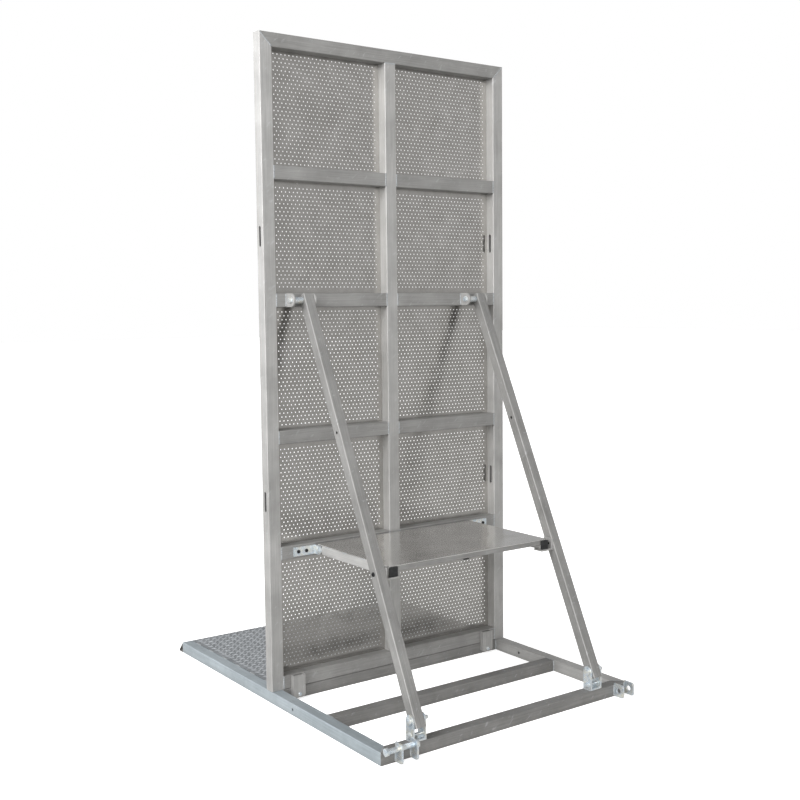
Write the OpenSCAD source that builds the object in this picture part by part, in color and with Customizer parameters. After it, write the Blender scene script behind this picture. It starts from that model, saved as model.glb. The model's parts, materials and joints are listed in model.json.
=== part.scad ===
// Folding crowd barrier, one unit of a row: an upright panel of aluminium tubes and
// perforated sheets on a tread base, held by two rear struts, with a fold-up step between them.
// Millimetres, +Z up. The origin is on the floor under the middle of the upright panel.
// The crowd stands on the tread plate at +Y, and the struts and the step are at -Y.

/* [Overall] */
// Width of the panel and of the base
unit_w = 1000; // [960:10:1200]
// Height of the panel's top edge above the floor
panel_top = 2160; // [2000:10:2400]

/* [Panel frame] */
// Face width of the frame tubes
frame_face = 45; // [40:1:50]
// Depth of the frame tubes, from the crowd's side to the rear
frame_depth = 40; // [38:1:46]
// Wall of the frame tubes
frame_wall = 3; // [2:0.5:4]
// Height of the upper crossbar's middle
upper_bar_z = 1726; // [1600:1:1850]
// Height of the strut crossbar's middle and of the strut pivots
strut_bar_z = 1320; // [1250:1:1400]
// Height of the lower crossbar's middle
lower_bar_z = 876; // [800:1:950]
// Height of the step crossbar's middle and of the step's hinge
step_bar_z = 495; // [450:1:550]
// Gap between the panel's foot and the base under it
foot_gap = 0.5; // [0.3:0.1:1]

/* [Infill] */
// Thickness of the infill sheets
sheet_t = 2; // [1:0.5:3]
// Depth of the sheets' front behind the frame's front
sheet_inset = 1; // [0:0.5:4]
// Radius of the sheets' holes, at twice the real size to keep the model light
hole_r = 6; // [4:0.5:8]
// Distance between the middles of neighbouring holes, at twice the real size
hole_pitch = 29.4; // [26:0.1:40]
// Least plain edge round the holes of a sheet
hole_edge = 12; // [8:1:20]

/* [Link slots] */
// Height of the upper link slots' middle in the stiles
upper_slot_z = 1523; // [1400:1:1600]
// Height of the lower link slots' middle in the stiles
lower_slot_z = 668; // [600:1:720]
// Length of a link slot from end to end
slot_len = 66; // [40:1:90]
// Width of a link slot
slot_w = 12; // [8:1:16]

/* [Base] */
// Side of the square base rails
rail = 40; // [36:1:46]
// Wall of the base rails
rail_wall = 3; // [2:0.5:4]
// Reach of the base behind the origin
base_rear = 644; // [600:1:700]
// Reach of the side rails in front of the origin
base_front = 670; // [600:1:800]
// Distance of the middle rail's rear face behind the origin
middle_rail_rear = 335; // [250:1:400]
// Thickness of the tread plate
tread_t = 5; // [3:0.5:8]
// Number of joists under the tread plate
joist_count = 3; // [2:1:5]
// Reach of the wedge nose in front of the side rails
nose_len = 32; // [25:1:50]
// Height of the wedge nose's front edge
nose_tip = 6; // [5:0.5:10]
// Wall of the wedge nose
nose_wall = 3; // [2:0.5:3]
// Distance of the side rails' link holes behind the origin
link_hole_rear = 150; // [100:1:250]
// Radius of the side rails' link holes
link_hole_r = 5; // [3:0.5:8]

/* [Struts] */
// Side of the square strut tubes
strut = 35; // [32:1:38]
// Wall of the strut tubes
strut_wall = 3; // [2:0.5:4]
// Distance of a strut's middle from the unit's side
strut_inset = 140; // [130:1:170]
// Distance of the strut pivots behind the panel's rear face
pivot_rear = 30; // [28:1:40]
// Distance of the strut's foot pin behind the origin
foot_rear = 624; // [580:1:650]
// Height of the strut's foot pin
foot_z = 100; // [95:1:120]
// Length of the tube past its pivot
strut_top_end = 16; // [12:1:20]
// Length of the tube past its foot pin
strut_foot_end = 26; // [22:1:30]
// Radius of the pivot bolts and the foot pins
pivot_r = 6; // [5:0.5:8]
// Thickness of the lugs and the clevis ears
lug_t = 6; // [4:0.5:8]
// Gap between a strut and its lug on the left, filled by the bolt's shoulder
lug_spread = 37; // [20:1:50]

/* [Step] */
// Side of the square step tubes
step_tube = 30; // [26:1:34]
// Wall of the step tubes
step_wall = 2.5; // [2:0.5:3]
// Thickness of the step's plate
step_plate_t = 3; // [2:0.5:4]
// Height of the flat tube along the step's rear
step_rear_h = 15; // [12:0.5:20]
// Distance of the step's hinge behind the panel's rear face
step_hinge_rear = 26; // [25:0.5:30]
// Distance of the step's rear edge behind the origin
step_rear = 450; // [420:1:460]
// Gap between the step's ends and the struts
step_side_gap = 17.5; // [14:0.5:20]

/* [Foot pins] */
// Length of a foot pin past the clevis
pin_tail = 17; // [12:1:24]
// Radius of a foot pin's head
pin_head_r = 13; // [10:0.5:16]
// Thickness of a foot pin's head
pin_head_t = 5; // [3:0.5:8]

/* [Panel hinges] */
// Number of hinges between the panel and the base
hinge_count = 3; // [2:1:4]
// Radius of the hinge knuckles
knuckle_r = 8; // [7:0.5:10]
// Width of the panel's knuckle
knuckle_w = 40; // [30:1:60]
// Width of each of the base's two knuckles
knuckle_end_w = 20; // [15:1:30]
// Radius of the hinge pins
hinge_pin_r = 4; // [3:0.5:5]
// Thickness of the hinge leaves
leaf_t = 4; // [3:0.5:5]
// Length of the hinge leaves from the pin
leaf_len = 35; // [25:1:36]

/* [Panel stops] */
// Width of a stop bracket
stop_w = 46; // [36:1:50]
// Height of a stop bracket's top above the floor
stop_top = 84; // [75:1:84]
// Height of a stop bracket's bottom above the floor
stop_bottom = 9; // [6:1:12]
// Depth of a stop bracket behind the panel
stop_depth = 18; // [14:1:24]
// Wall of a stop bracket
stop_wall = 5; // [3:0.5:6]
// Distance of a stop bracket's middle from the side rail
stop_inset = 53.5; // [30:0.5:55]

/* [Coupling] */
// Thickness of the coupling lugs
coupling_t = 6; // [4:0.5:8]
// Reach of the left lugs behind the rear rail
left_lug_len = 34; // [28:1:44]
// Reach of the right lugs behind the rear rail
right_lug_len = 42; // [34:1:50]
// Distance of the left lug pair's middle from the unit's left side
left_lug_inset = 80; // [75:1:84]
// Distance between the middles of the two left lugs
left_lug_pitch = 54; // [44:1:60]
// Distance of the outer right lug's middle from the unit's right side
right_lug_inset = 11; // [4:1:20]
// Distance between the middles of the two right lugs
right_lug_pitch = 47; // [40:1:54]
// Height of the left lugs' top above the floor
left_lug_top = 62; // [56:1:70]
// Height of the right lugs' top above the floor
right_lug_top = 46; // [40:1:56]
// Height of the lugs' underside above the floor
lug_bottom = 3; // [1:1:8]
// Radius of the coupling bolt
coupling_bolt_r = 8; // [6:0.5:10]

/* [Hidden] */

// Colours of the finishes
mill_aluminium = "#b9bcbd";
sheet_aluminium = "#a4a7a8";
tread_aluminium = "#c6c9ca";
zinc_steel = "#d3d8db";
black_plastic = "#1c1e20";
black_steel = "#303234";

// Facets of round faces and of the tubes' small corners
round_fn = 64;
corner_fn = 32;
// Overrun of a cut past the face that it opens
cut = 2;
// Radial clearance of a pin or bolt in its bore
running = 0.05;
// Clearance between faces that move past each other
side_gap = 0.6;
// Clearance between a moving piece and the seat that carries it
seat_gap = 0.3;
// Corner radius of every tube, limited by its wall
tube_corner = 3;

// Planes of the panel and the base
half_w = unit_w / 2;
strut_x = half_w - strut_inset;
panel_rear = -frame_depth / 2;
panel_front = frame_depth / 2;
panel_foot = rail + foot_gap;
stile_x = half_w - frame_face / 2;
stile_inner = half_w - frame_face;
mullion_side = frame_face / 2;
rail_x = half_w - rail / 2;
rail_inner = half_w - rail;
base_rear_y = -base_rear;
bar_z = [upper_bar_z, strut_bar_z, lower_bar_z, step_bar_z];
row_tops = concat([panel_top - frame_face], [for (z = bar_z) z - frame_face / 2]);
row_bottoms = concat([for (z = bar_z) z + frame_face / 2], [panel_foot + frame_face]);
bay_w = stile_inner - mullion_side;
// Angle between a row of holes and the line to the next row's holes
hole_stagger = 60;

// Hinge line between the panel and the base
knuckle_gap = 0.4;
hinge_y = panel_front + knuckle_r + knuckle_gap;
hinge_z = rail + knuckle_r + knuckle_gap;
hinge_span_share = 0.72;
hinge_pitch = unit_w * hinge_span_share / (hinge_count - 1);
hinge_half = knuckle_w / 2 + side_gap + knuckle_end_w;
hinge_head_t = 3;
hinge_head_r = 6;

// Strut line from its pivot on the panel to its foot pin on the base
pivot_y = panel_rear - pivot_rear;
pivot_z = strut_bar_z;
foot_y = -foot_rear;
strut_len = norm([pivot_y - foot_y, pivot_z - foot_z]);
strut_lean = atan2(pivot_y - foot_y, pivot_z - foot_z);
strut_side = strut / 2;
ear_inner = strut_side + side_gap;
ear_outer = ear_inner + lug_t;
lug_r = 22;
bolt_head_t = 6;
bolt_head_r = 10;
bolt_shoulder_r = 11;
// Faces of the two lugs of a strut across the strut's middle, from left to right
lug_faces = [-strut_side - lug_spread - lug_t, -strut_side - lug_spread, ear_inner, ear_outer];

// Foot notch that drops over the foot pin and lets it leave as the panel folds
notch_r = pivot_r + knuckle_gap;
notch_flare = 8;
// Lock hole in the strut, level with the folded step's rear tube
lock_hole_r = 5;
lock_hole_drop = 457;

// Clevis that takes the strut's foot on the rear rail
clevis_web = 6;
clevis_top_r = 18;
tie_bolt_r = 5;
tie_bolt_z = rail + clevis_web + tie_bolt_r * 2;
tie_head_r = 9;
tie_head_t = 6;

// Step between the struts
step_end = strut_x - strut_side - step_side_gap;
step_hinge_y = panel_rear - step_hinge_rear;
step_hinge_z = step_bar_z;
step_half = step_tube / 2;
step_side_x = step_end - step_half;
step_front_face = step_hinge_y - step_half;
step_bolt_r = 5;
step_bolt_head_r = 8;
step_bolt_head_t = 4;
bush_len = 25;
plug_flange = 5;
// Rear ends of the step's side tubes, in front of their plugs' flanges
step_tube_end = -step_rear + plug_flange;
bracket_t = 6;
bracket_len = 86;
bracket_bolt_r = 4;
bracket_head_r = 6;
bracket_head_t = 4;
bracket_bolt_shares = [0.45, 0.8];

// Ledge on each strut that carries the end of a step's side tube
ledge_t = 5;
ledge_reach = 50;
ledge_d = 40;
ledge_rise = 18;
ledge_bolt_r = 4;
ledge_head_r = 7;
ledge_head_t = 4;
ledge_top = step_hinge_z - step_half - seat_gap;
ledge_rear = -step_rear + step_half - ledge_d / 2;

// Stop brackets and their bolts
stop_x = rail_inner - stop_inset;
stop_corner = 10;
stop_gap = 1;
stop_bolt_r = 4;
stop_bolt_z = rail / 2;
stop_head_r = 7;
stop_head_t = 5;

// Coupling lugs and the bolt kept in the left pair
left_lug_x = -half_w + left_lug_inset;
right_lug_xs = [half_w - right_lug_inset - right_lug_pitch, half_w - right_lug_inset];
lug_corner = 9;
right_bore_r = 8.5;
coupling_bolt_z_share = 0.74;
coupling_bolt_y_share = 0.5;
coupling_bolt_tail = 12;
coupling_bolt_lead = 38;
coupling_head_r = 13;
coupling_head_t = 9;
hex_fn = 6;

// Outline of a box tube with round outer corners
module rounded_rect(w, h, r) {
    square([w - 2 * r, h], center = true);
    square([w, h - 2 * r], center = true);
    for (sx = [-1, 1], sy = [-1, 1])
        translate([sx * (w / 2 - r), sy * (h / 2 - r)])
            circle(r = r, $fn = corner_fn);
}

// Box tube along +Z from the origin, w along X and h along Y
module box_tube(w, h, wall, len) {
    linear_extrude(height = len)
        difference() {
            rounded_rect(w, h, min(tube_corner, wall));
            square([w - 2 * wall, h - 2 * wall], center = true);
        }
}

// The same tube turned along +X, with d along Y and h along Z
module tube_along_x(d, h, wall, len) {
    rotate([90, 0, 90])
        box_tube(d, h, wall, len);
}

// The same tube turned along +Y, with w along X and h along Z
module tube_along_y(w, h, wall, len) {
    rotate([-90, 0, 0])
        box_tube(w, h, wall, len);
}

// Round bar along X between two places
module rod_x(x0, x1, r, fn = round_fn) {
    translate([x0, 0, 0])
        rotate([0, 90, 0])
            cylinder(r = r, h = x1 - x0, $fn = fn);
}

// Round bar along Y between two places
module rod_y(y0, y1, r, fn = round_fn) {
    translate([0, y0, 0])
        rotate([-90, 0, 0])
            cylinder(r = r, h = y1 - y0, $fn = fn);
}

// Plate of a YZ outline between two places along X
module plate_x(x0, x1) {
    translate([x0, 0, 0])
        rotate([90, 0, 90])
            linear_extrude(height = x1 - x0)
                children();
}

// Triangle that mitres two tubes at the base's rear left corner, on the side rail's or the rear rail's end
module mitre_plan(of_side_rail) {
    far_x = -half_w - cut;
    near_x = -rail_inner + cut;
    far_y = base_rear_y - cut;
    near_y = base_rear_y + rail + cut;
    translate([0, 0, -cut])
        linear_extrude(height = rail + 2 * cut)
            polygon([[far_x, far_y], [near_x, near_y], of_side_rail ? [near_x, far_y] : [far_x, near_y]]);
}

// Triangle that mitres two tubes at the panel's top left corner, on the stile's or the top rail's end
module mitre_front(of_stile) {
    far_x = -half_w - cut;
    near_x = -stile_inner + cut;
    far_z = panel_top + cut;
    near_z = panel_top - frame_face - cut;
    translate([0, frame_depth, 0])
        rotate([90, 0, 0])
            linear_extrude(height = 2 * frame_depth)
                polygon([[far_x, far_z], [near_x, near_z], of_stile ? [near_x, far_z] : [far_x, near_z]]);
}

// Left side rail, mitred at the rear and drilled for a link bolt
module side_rail() {
    difference() {
        translate([-rail_x, base_rear_y, rail / 2])
            tube_along_y(rail, rail, rail_wall, base_rear + base_front);
        mitre_plan(true);
        translate([0, -link_hole_rear, rail / 2])
            rod_x(-half_w - cut, -rail_inner + cut, link_hole_r);
    }
}

module base_side_rail_left() {
    color(mill_aluminium)
        side_rail();
}

module base_side_rail_right() {
    color(mill_aluminium)
        mirror([1, 0, 0])
            side_rail();
}

// Rear rail, mitred into both side rails
module base_rear_rail() {
    color(mill_aluminium)
        difference() {
            translate([-half_w, base_rear_y + rail / 2, rail / 2])
                tube_along_x(rail, rail, rail_wall, unit_w);
            mitre_plan(false);
            mirror([1, 0, 0])
                mitre_plan(false);
        }
}

// Rail across the base between the side rails, from its rear face
module cross_rail(rear_y) {
    translate([-rail_inner, rear_y + rail / 2, rail / 2])
        tube_along_x(rail, rail, rail_wall, 2 * rail_inner);
}

module base_middle_rail() {
    color(mill_aluminium)
        cross_rail(-middle_rail_rear);
}

// Rail under the panel's foot, drilled for the stop brackets' bolts
module base_hinge_rail() {
    color(mill_aluminium)
        difference() {
            cross_rail(-rail / 2);
            for (sx = [-1, 1])
                translate([sx * stop_x, 0, stop_bolt_z])
                    rod_y(-rail / 2 - cut, -rail / 2 + rail_wall + cut, stop_bolt_r + running);
        }
}

// Hollow wedge across the front of the base, open at both ends
module base_front_nose() {
    slope = (rail - nose_tip) / nose_len;
    drop = nose_wall * sqrt(1 + slope * slope);
    void_front = nose_len - nose_wall;
    color(mill_aluminium)
        translate([0, base_front, 0])
            plate_x(-half_w, half_w)
                difference() {
                    polygon([[0, 0], [nose_len, 0], [nose_len, nose_tip], [0, rail]]);
                    polygon([
                        [nose_wall, nose_wall],
                        [void_front, nose_wall],
                        [void_front, max(nose_wall, rail - slope * void_front - drop)],
                        [nose_wall, rail - slope * nose_wall - drop]
                    ]);
                }
}

// Tread plate in front of the panel, flush with the rails
module tread_plate() {
    color(tread_aluminium)
        translate([-rail_inner, rail / 2, rail - tread_t])
            cube([2 * rail_inner, base_front - rail / 2, tread_t]);
}

// Joists under the tread plate, from the hinge rail to the nose
module tread_joists() {
    joist_h = rail - tread_t;
    pitch = 2 * rail_inner / (joist_count + 1);
    color(mill_aluminium)
        for (i = [1:joist_count])
            translate([-rail_inner + i * pitch, rail / 2, joist_h / 2])
                tube_along_y(rail, joist_h, rail_wall, base_front - rail / 2);
}

// Outline of a stop bracket, with two round corners at its foot
module stop_outline(w, bottom, top, r) {
    translate([-w / 2, bottom + r])
        square([w, top - bottom - r]);
    translate([-w / 2 + r, bottom])
        square([w - 2 * r, r]);
    for (sx = [-1, 1])
        translate([sx * (w / 2 - r), bottom + r])
            circle(r = r, $fn = round_fn);
}

// Channel bracket on the hinge rail that the panel's foot stands against
module panel_stop() {
    base_face = -rail / 2;
    inner_corner = stop_corner - stop_wall;
    difference() {
        translate([stop_x, base_face, 0])
            rotate([90, 0, 0])
                linear_extrude(height = stop_depth)
                    stop_outline(stop_w, stop_bottom, stop_top, stop_corner);
        translate([stop_x, base_face + cut, 0])
            rotate([90, 0, 0])
                linear_extrude(height = stop_depth - stop_wall + cut)
                    stop_outline(stop_w - 2 * stop_wall, stop_bottom + stop_wall, stop_top + cut, inner_corner);
        translate([stop_x - stop_w / 2 - cut, panel_rear - stop_gap, rail])
            cube([stop_w + 2 * cut, stop_gap + cut, stop_top - rail + cut]);
        translate([stop_x, 0, stop_bolt_z])
            rod_y(base_face - stop_depth - cut, base_face, stop_bolt_r + running);
    }
}

module panel_stop_left() {
    color(mill_aluminium)
        mirror([1, 0, 0])
            panel_stop();
}

module panel_stop_right() {
    color(mill_aluminium)
        panel_stop();
}

// Bolts that hold the stop brackets on the hinge rail
module stop_bolts() {
    web_face = -rail / 2 - stop_depth;
    color(zinc_steel)
        for (sx = [-1, 1])
            translate([sx * stop_x, 0, stop_bolt_z]) {
                rod_y(web_face - stop_head_t, web_face, stop_head_r);
                rod_y(web_face, -rail / 2 + rail_wall, stop_bolt_r);
            }
}

// One ear of the clevis, seen along X
module clevis_ear() {
    translate([foot_y - clevis_top_r, rail])
        square([2 * clevis_top_r, foot_z - rail]);
    translate([foot_y, foot_z])
        circle(r = clevis_top_r, $fn = round_fn);
}

// Clevis on the rear rail that takes a strut's foot between its ears
module clevis() {
    difference() {
        union() {
            for (sx = [-1, 1])
                plate_x(sx * (ear_inner + lug_t / 2) - lug_t / 2, sx * (ear_inner + lug_t / 2) + lug_t / 2)
                    clevis_ear();
            translate([-ear_outer, foot_y - clevis_top_r, rail])
                cube([2 * ear_outer, 2 * clevis_top_r, clevis_web]);
        }
        translate([0, foot_y, foot_z])
            rod_x(-ear_outer - cut, ear_outer + cut, pivot_r + running);
        translate([0, foot_y, tie_bolt_z])
            rod_x(-ear_outer - cut, ear_outer + cut, tie_bolt_r + running);
    }
}

module clevis_left() {
    color(zinc_steel)
        translate([-strut_x, 0, 0])
            clevis();
}

module clevis_right() {
    color(zinc_steel)
        translate([strut_x, 0, 0])
            clevis();
}

// Bolts with nuts that tie the clevis ears together under the struts' feet
module clevis_tie_bolts() {
    color(zinc_steel)
        for (sx = [-1, 1])
            translate([sx * strut_x, foot_y, tie_bolt_z]) {
                rod_x(-ear_outer, ear_outer, tie_bolt_r);
                rod_x(-ear_outer - tie_head_t, -ear_outer, tie_head_r, hex_fn);
                rod_x(ear_outer, ear_outer + tie_head_t, tie_head_r, hex_fn);
            }
}

// Coupling lug behind the rear rail, seen along X, with its rear corners rounded
module coupling_lug(len, top) {
    rear = base_rear_y - len;
    translate([rear + lug_corner, lug_bottom])
        square([len - lug_corner, top - lug_bottom]);
    translate([rear, lug_bottom + lug_corner])
        square([lug_corner, top - lug_bottom - 2 * lug_corner]);
    for (z = [lug_bottom + lug_corner, top - lug_corner])
        translate([rear + lug_corner, z])
            circle(r = lug_corner, $fn = round_fn);
}

coupling_bolt_y = base_rear_y - left_lug_len * coupling_bolt_y_share;
coupling_bolt_z = left_lug_top * coupling_bolt_z_share;

module coupling_lugs_left() {
    color(zinc_steel)
        difference() {
            for (sx = [-1, 1])
                plate_x(
                    left_lug_x + sx * left_lug_pitch / 2 - coupling_t / 2,
                    left_lug_x + sx * left_lug_pitch / 2 + coupling_t / 2
                )
                    coupling_lug(left_lug_len, left_lug_top);
            translate([left_lug_x, coupling_bolt_y, coupling_bolt_z])
                rod_x(-left_lug_pitch, left_lug_pitch, coupling_bolt_r + running);
        }
}

module coupling_lugs_right() {
    bore_y = base_rear_y - right_lug_len / 2;
    bore_z = (lug_bottom + right_lug_top) / 2;
    color(zinc_steel)
        difference() {
            for (x = right_lug_xs)
                plate_x(x - coupling_t / 2, x + coupling_t / 2)
                    coupling_lug(right_lug_len, right_lug_top);
            translate([0, bore_y, bore_z])
                rod_x(right_lug_xs[0] - coupling_t, right_lug_xs[1] + coupling_t, right_bore_r);
        }
}

// Hexagon bolt kept in the left lugs for the next unit of the row
module coupling_bolt() {
    lug_side = left_lug_pitch / 2 + coupling_t / 2;
    color(zinc_steel)
        translate([left_lug_x, coupling_bolt_y, coupling_bolt_z]) {
            rod_x(-lug_side - coupling_bolt_lead, lug_side + coupling_bolt_tail, coupling_bolt_r);
            rod_x(
                -lug_side - coupling_bolt_lead - coupling_head_t,
                -lug_side - coupling_bolt_lead,
                coupling_head_r,
                hex_fn
            );
            rod_x(lug_side, lug_side + coupling_head_t, coupling_head_r, hex_fn);
        }
}

// Places of the panel hinges along X
function hinge_xs() = [for (i = [0:hinge_count - 1]) (i - (hinge_count - 1) / 2) * hinge_pitch];

// Base half of a hinge: a leaf on the tread plate with a knuckle at each end
module base_hinge_leaf() {
    window = knuckle_w / 2 + side_gap;
    difference() {
        union() {
            for (sx = [-1, 1])
                translate([sx * (window + knuckle_end_w / 2), hinge_y, hinge_z])
                    rod_x(-knuckle_end_w / 2, knuckle_end_w / 2, knuckle_r);
            translate([-hinge_half, hinge_y, rail])
                cube([2 * hinge_half, leaf_len, leaf_t]);
        }
        translate([-window, hinge_y - cut, rail - cut])
            cube([2 * window, knuckle_r + side_gap + cut, leaf_t + 2 * cut]);
        translate([0, hinge_y, hinge_z])
            rod_x(-hinge_half - cut, hinge_half + cut, hinge_pin_r + running);
    }
}

module base_hinge_leaves() {
    color(mill_aluminium)
        for (x = hinge_xs())
            translate([x, 0, 0])
                base_hinge_leaf();
}

// Headed pins on which the panel folds
module hinge_pins() {
    color(zinc_steel)
        for (x = hinge_xs())
            translate([x, hinge_y, hinge_z]) {
                rod_x(-hinge_half, hinge_half, hinge_pin_r);
                rod_x(-hinge_half - hinge_head_t, -hinge_half, hinge_head_r);
                rod_x(hinge_half, hinge_half + hinge_head_t, hinge_head_r);
            }
}

// Panel half of a hinge: a leaf on the bottom rail with one knuckle
module panel_hinge_leaves() {
    color(mill_aluminium)
        for (x = hinge_xs())
            translate([x, 0, 0])
                difference() {
                    union() {
                        translate([0, hinge_y, hinge_z])
                            rod_x(-knuckle_w / 2, knuckle_w / 2, knuckle_r);
                        translate([-knuckle_w / 2, panel_front, hinge_z])
                            cube([knuckle_w, leaf_t, leaf_len]);
                    }
                    translate([0, hinge_y, hinge_z])
                        rod_x(-knuckle_w, knuckle_w, hinge_pin_r + running);
                }
}

// Upright slot with round ends through a stile
module link_slot(z) {
    round_rise = slot_len / 2 - slot_w / 2;
    for (sz = [-1, 1])
        translate([0, 0, z + sz * round_rise])
            rod_x(-half_w - cut, -stile_inner + cut, slot_w / 2);
    translate([-half_w - cut, -slot_w / 2, z - round_rise])
        cube([frame_face + 2 * cut, slot_w, 2 * round_rise]);
}

// Left stile, mitred at the top and slotted for the links to the next unit
module stile() {
    difference() {
        translate([-stile_x, 0, panel_foot])
            box_tube(frame_face, frame_depth, frame_wall, panel_top - panel_foot);
        mitre_front(true);
        for (z = [upper_slot_z, lower_slot_z])
            link_slot(z);
    }
}

module stile_left() {
    color(mill_aluminium)
        stile();
}

module stile_right() {
    color(mill_aluminium)
        mirror([1, 0, 0])
            stile();
}

// Top rail, mitred into both stiles
module top_rail() {
    color(mill_aluminium)
        difference() {
            translate([-half_w, 0, panel_top - frame_face / 2])
                tube_along_x(frame_depth, frame_face, frame_wall, unit_w);
            mitre_front(false);
            mirror([1, 0, 0])
                mitre_front(false);
        }
}

module bottom_rail() {
    color(mill_aluminium)
        translate([-stile_inner, 0, panel_foot + frame_face / 2])
            tube_along_x(frame_depth, frame_face, frame_wall, 2 * stile_inner);
}

// Middle upright from the bottom rail to the top rail
module mullion() {
    mullion_foot = panel_foot + frame_face;
    color(mill_aluminium)
        translate([0, 0, mullion_foot])
            box_tube(frame_face, frame_depth, frame_wall, panel_top - frame_face - mullion_foot);
}

// Crossbar in two lengths, each between the mullion and a stile
module crossbar(z) {
    for (x = [-stile_inner, mullion_side])
        translate([x, 0, z])
            tube_along_x(frame_depth, frame_face, frame_wall, bay_w);
}

module crossbar_upper() {
    color(mill_aluminium)
        crossbar(upper_bar_z);
}

module crossbar_strut() {
    color(mill_aluminium)
        crossbar(strut_bar_z);
}

module crossbar_lower() {
    color(mill_aluminium)
        crossbar(lower_bar_z);
}

// Crossbar behind the step, drilled for the bolts of the step's brackets
module crossbar_step() {
    color(mill_aluminium)
        difference() {
            crossbar(step_bar_z);
            for (sx = [-1, 1], share = bracket_bolt_shares)
                translate([sx * (step_end + side_gap + bracket_len * share), 0, step_hinge_z])
                    rod_y(panel_rear - cut, panel_rear + frame_wall + cut, bracket_bolt_r + running);
        }
}

// Sheet with staggered rows of punched holes, every second row one hole shorter
module punched_sheet(w, h) {
    row_pitch = hole_pitch * sin(hole_stagger);
    rows = floor((h - 2 * hole_edge - 2 * hole_r) / row_pitch);
    columns = floor((w - 2 * hole_edge - 2 * hole_r) / hole_pitch);
    difference() {
        square([w, h], center = true);
        for (row = [0:rows]) {
            last = columns - row % 2;
            for (column = [0:last])
                translate([(column - last / 2) * hole_pitch, (row - rows / 2) * row_pitch])
                    circle(r = hole_r, $fn = corner_fn);
        }
    }
}

// Two infill sheets of one row, near the front of the frame
module infill_row(row) {
    h = row_tops[row] - row_bottoms[row];
    color(sheet_aluminium)
        for (sx = [-1, 1])
            translate([sx * (mullion_side + bay_w / 2), panel_front - sheet_inset, row_bottoms[row] + h / 2])
                rotate([90, 0, 0])
                    linear_extrude(height = sheet_t)
                        punched_sheet(bay_w, h);
}

module infill_row_1() {
    infill_row(0);
}

module infill_row_2() {
    infill_row(1);
}

module infill_row_3() {
    infill_row(2);
}

module infill_row_4() {
    infill_row(3);
}

module infill_row_5() {
    infill_row(4);
}

// One lug behind the strut crossbar, seen along X
module strut_lug() {
    translate([pivot_y, pivot_z - lug_r])
        square([pivot_rear, 2 * lug_r]);
    translate([pivot_y, pivot_z])
        circle(r = lug_r, $fn = round_fn);
}

// Pair of lugs that takes a strut's top between them, close on its right and set off on its left
module strut_lugs() {
    difference() {
        for (side = [0, 2])
            plate_x(lug_faces[side], lug_faces[side + 1])
                strut_lug();
        translate([0, pivot_y, pivot_z])
            rod_x(lug_faces[0] - cut, lug_faces[3] + cut, pivot_r + running);
    }
}

module strut_lugs_left() {
    color(mill_aluminium)
        translate([-strut_x, 0, 0])
            strut_lugs();
}

module strut_lugs_right() {
    color(mill_aluminium)
        translate([strut_x, 0, 0])
            strut_lugs();
}

// Headed bolts on which the struts turn, each with a shoulder between the strut and its left lug
module strut_pivot_bolts() {
    color(zinc_steel)
        for (sx = [-1, 1])
            translate([sx * strut_x, pivot_y, pivot_z]) {
                rod_x(lug_faces[0], lug_faces[3], pivot_r);
                rod_x(lug_faces[1], -ear_inner, bolt_shoulder_r);
                rod_x(lug_faces[0] - bolt_head_t, lug_faces[0], bolt_head_r, hex_fn);
                rod_x(lug_faces[3], lug_faces[3] + bolt_head_t, bolt_head_r, hex_fn);
            }
}

// Right bracket on the step crossbar: a bolted plate with an ear for the step's pivot
module step_hinge_bracket() {
    ear_x = step_end + side_gap;
    difference() {
        union() {
            translate([ear_x, panel_rear - bracket_t, step_hinge_z - step_half])
                cube([bracket_len, bracket_t, step_tube]);
            plate_x(ear_x, ear_x + bracket_t) {
                translate([step_hinge_y, step_hinge_z - step_half])
                    square([step_hinge_rear, step_tube]);
                translate([step_hinge_y, step_hinge_z])
                    circle(r = step_half, $fn = round_fn);
            }
        }
        translate([ear_x, step_hinge_y, step_hinge_z])
            rod_x(-cut, bracket_t + cut, step_bolt_r + running);
        for (share = bracket_bolt_shares)
            translate([ear_x + bracket_len * share, 0, step_hinge_z])
                rod_y(panel_rear - bracket_t - cut, panel_rear + cut, bracket_bolt_r + running);
    }
}

module step_hinge_brackets() {
    color(zinc_steel) {
        step_hinge_bracket();
        mirror([1, 0, 0])
            step_hinge_bracket();
    }
}

// Bolts that hold the step's brackets on the crossbar
module step_bracket_bolts() {
    plate_face = panel_rear - bracket_t;
    color(black_steel)
        for (sx = [-1, 1], share = bracket_bolt_shares)
            translate([sx * (step_end + side_gap + bracket_len * share), 0, step_hinge_z]) {
                rod_y(plate_face - bracket_head_t, plate_face, bracket_head_r);
                rod_y(plate_face, panel_rear + frame_wall, bracket_bolt_r);
            }
}

// Bolts on which the step folds, fixed in the ears of its brackets
module step_pivot_bolts() {
    ear_face = step_end + side_gap + bracket_t;
    color(zinc_steel)
        for (turn = [0, 1])
            mirror([turn, 0, 0])
                translate([0, step_hinge_y, step_hinge_z]) {
                    rod_x(step_end - bush_len, ear_face, step_bolt_r);
                    rod_x(ear_face, ear_face + step_bolt_head_t, step_bolt_head_r, hex_fn);
                }
}

// Notch in a strut's foot, open at the tube's end and flared to the rear
module foot_notch() {
    open_end = -strut_foot_end - cut;
    rod_x(-strut, strut, notch_r);
    plate_x(-strut, strut)
        polygon([[-notch_r, 0], [notch_r, 0], [notch_r, open_end], [-notch_r - notch_flare, open_end]]);
}

// Distance from a strut's pivot down the tube to the ledge's bolt, level with the step's tubes
ledge_bolt_drop = (pivot_z - step_hinge_z) / cos(strut_lean);
ledge_bolt_y = pivot_y - ledge_bolt_drop * sin(strut_lean);

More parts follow.
